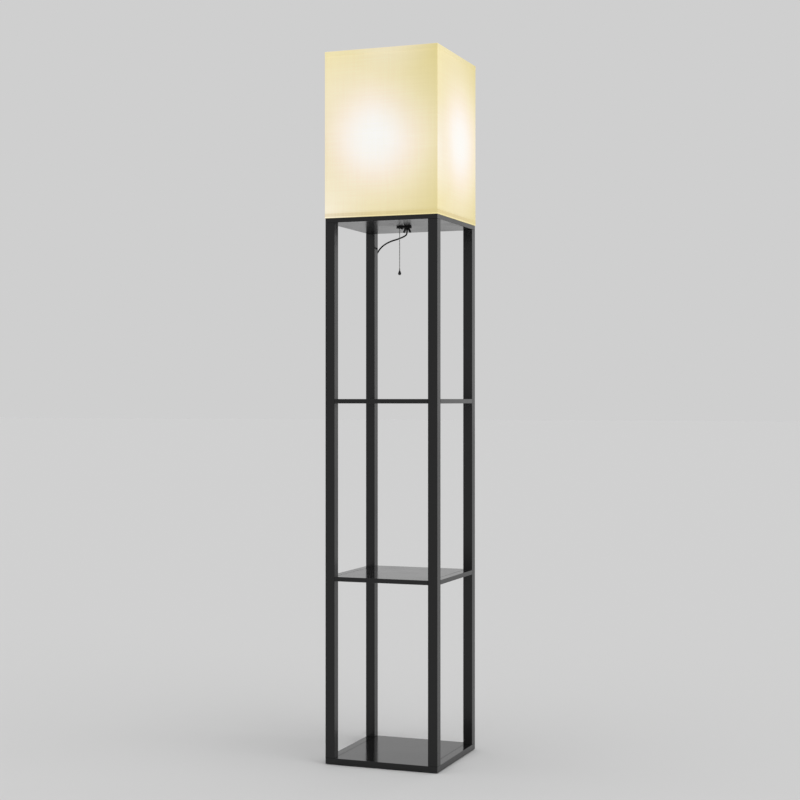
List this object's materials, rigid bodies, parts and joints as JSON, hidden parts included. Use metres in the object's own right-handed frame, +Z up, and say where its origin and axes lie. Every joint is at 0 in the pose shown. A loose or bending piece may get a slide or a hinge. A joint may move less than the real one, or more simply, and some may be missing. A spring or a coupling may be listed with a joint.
{
  "type": "shelf floor lamp",
  "caption": "Tall square floor lamp with open shelves on slim posts, a fabric box shade and a pull-chain switch.",
  "frame": {"origin": "on the floor under the middle of the base", "axes": "+Z up, -Y the front face, +X the right-hand side"},
  "size_m": [0.311, 0.3817, 1.6015],
  "materials": {
    "black_lacquer": "semi-gloss black lacquer over fibreboard and wood",
    "pad_felt": "pressed black felt",
    "zinc_steel": "zinc plated",
    "brass": "machined",
    "hub_plastic": "moulded, fine grain",
    "drum_plastic": "moulded nylon",
    "chain_steel": "nickel plated beads",
    "pull_metal": "black lacquered",
    "box_enamel": "black enamel",
    "holder_phenolic": "moulded phenolic",
    "bulb_metal": "plated",
    "bulb_plastic": "moulded white",
    "bulb_frost": "frosted, translucent",
    "shade_linen": "plain woven cream fabric on a translucent liner",
    "hem_tape": "narrow woven tape",
    "shade_wire": "white lacquered wire",
    "cord_pvc": "black flexible jacket",
    "blade_brass": "stamped"
  },
  "bodies": {
    "root": {"base_board": "black_lacquer", "base_bolts": "zinc_steel", "box_screws": "zinc_steel", "centre_contact": "brass", "cord": "cord_pvc", "cord_clips": "hub_plastic", "cord_grip": "hub_plastic", "cord_hank": "cord_pvc", "cord_tie": "hub_plastic", "foot_pads": "pad_felt", "front_left_lower_post": "black_lacquer", "front_left_middle_post": "black_lacquer", "front_left_upper_post": "black_lacquer", "front_right_lower_post": "black_lacquer", "front_right_middle_post": "black_lacquer", "front_right_upper_post": "black_lacquer", "holder_cap": "holder_phenolic", "holder_shell": "holder_phenolic", "hub_plate": "hub_plastic", "inner_cord": "cord_pvc", "joint_studs": "zinc_steel", "lower_shelf": "black_lacquer", "nipple": "zinc_steel", "nipple_nuts": "zinc_steel", "nozzle_nut": "zinc_steel", "plate_screws": "zinc_steel", "plug_blades": "blade_brass", "plug_body": "cord_pvc", "rear_left_lower_post": "black_lacquer", "rear_left_middle_post": "black_lacquer", "rear_left_upper_post": "black_lacquer", "rear_right_lower_post": "black_lacquer", "rear_right_middle_post": "black_lacquer", "rear_right_upper_post": "black_lacquer", "ring_nut": "holder_phenolic", "screw_shell": "brass", "shade_fabric": "shade_linen", "shade_fitter": "shade_wire", "shade_hems": "hem_tape", "shade_rings": "shade_wire", "shade_struts": "shade_wire", "supply_wires": "cord_pvc", "switch_body": "hub_plastic", "terminal_block": "holder_phenolic", "terminal_screws": "brass", "threaded_inserts": "brass", "top_board": "black_lacquer", "top_bolts": "zinc_steel", "upper_shelf": "black_lacquer", "wiring_box": "box_enamel"},
    "chain_lead": {"chain_lead": "chain_steel"},
    "chain_upper": {"chain_upper": "chain_steel"},
    "chain_lower": {"chain_lower": "chain_steel", "chain_connector": "chain_steel", "chain_pull": "pull_metal"},
    "switch_drum": {"switch_drum": "drum_plastic"},
    "bulb_tip": {"bulb_tip": "bulb_metal"},
    "bulb": {"bulb_cap": "bulb_metal", "bulb_neck": "bulb_plastic", "bulb_globe": "bulb_frost"}
  },
  "joints": [
    {"name": "pull_chain", "type": "slide", "parent": "root", "child": "chain_lead", "axis": [0, 0, -1], "range_m": [0, 0.012], "stiffness_N_per_m": 60, "springref_m": -0.01},
    {"name": "drum_turn", "type": "hinge", "parent": "root", "child": "switch_drum", "pos_m": [0.0013, 0, 1.2398], "axis": [0, 1, 0], "range_deg": [0, 138]},
    {"name": "chain_sway", "type": "hinge", "parent": "chain_lead", "child": "chain_upper", "pos_m": [-0.0052, 0, 1.2116], "axis": [0, 1, 0], "range_deg": [-30, 30]},
    {"name": "chain_swing", "type": "hinge", "parent": "chain_upper", "child": "chain_lower", "pos_m": [-0.0052, 0, 1.1796], "axis": [1, 0, 0], "range_deg": [-30, 30]},
    {"name": "bulb_turn", "type": "hinge", "parent": "root", "child": "bulb_tip", "pos_m": [0, 0, 1.3107], "axis": [0, 0, 1], "range_deg": [0, 1800]},
    {"name": "bulb_rise", "type": "slide", "parent": "bulb_tip", "child": "bulb", "axis": [0, 0, 1], "range_m": [0, 0.01825]}
  ],
  "couplings": [
    {"joint": "drum_turn", "follows": "pull_chain", "rad_per_m": 200},
    {"joint": "bulb_rise", "follows": "bulb_turn", "m_per_rad": 0.00057773}
  ]
}
